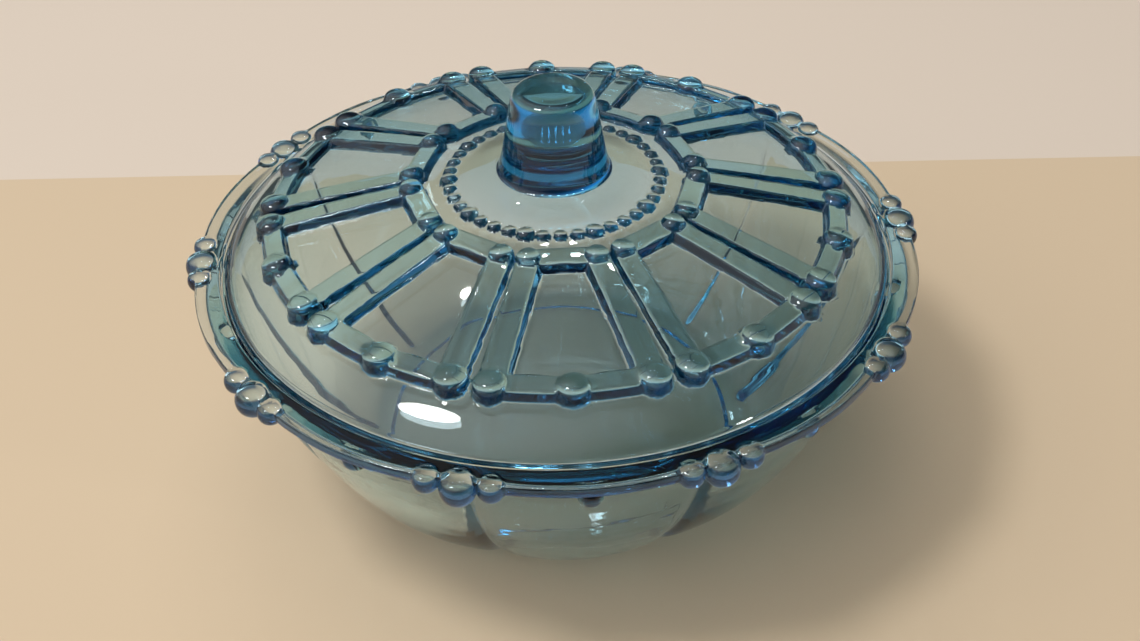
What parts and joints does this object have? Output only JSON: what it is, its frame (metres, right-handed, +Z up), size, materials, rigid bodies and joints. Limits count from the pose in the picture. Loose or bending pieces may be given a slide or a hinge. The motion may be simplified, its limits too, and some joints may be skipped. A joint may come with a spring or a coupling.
{
  "type": "covered candy dish",
  "caption": "Round pressed-glass bowl with a lobed wall and beaded flange, and a domed lid with beaded frames and a solid knob that lifts off.",
  "frame": {"origin": "centre of the foot, on the surface that the dish stands on", "axes": "+Z up along the dish's axis; +X through a cluster of rim beads"},
  "size_m": [0.2008, 0.195, 0.1116],
  "materials": {
    "aqua_glass": "fire-polished clear aqua-blue pressed glass"
  },
  "bodies": {
    "bowl": {"bowl": "aqua_glass"},
    "lid": {"lid": "aqua_glass"}
  },
  "joints": [
    {"name": "lid_lift", "type": "slide", "parent": "bowl", "child": "lid", "axis": [0, 0, 1], "range_m": [0, 0.12]}
  ]
}
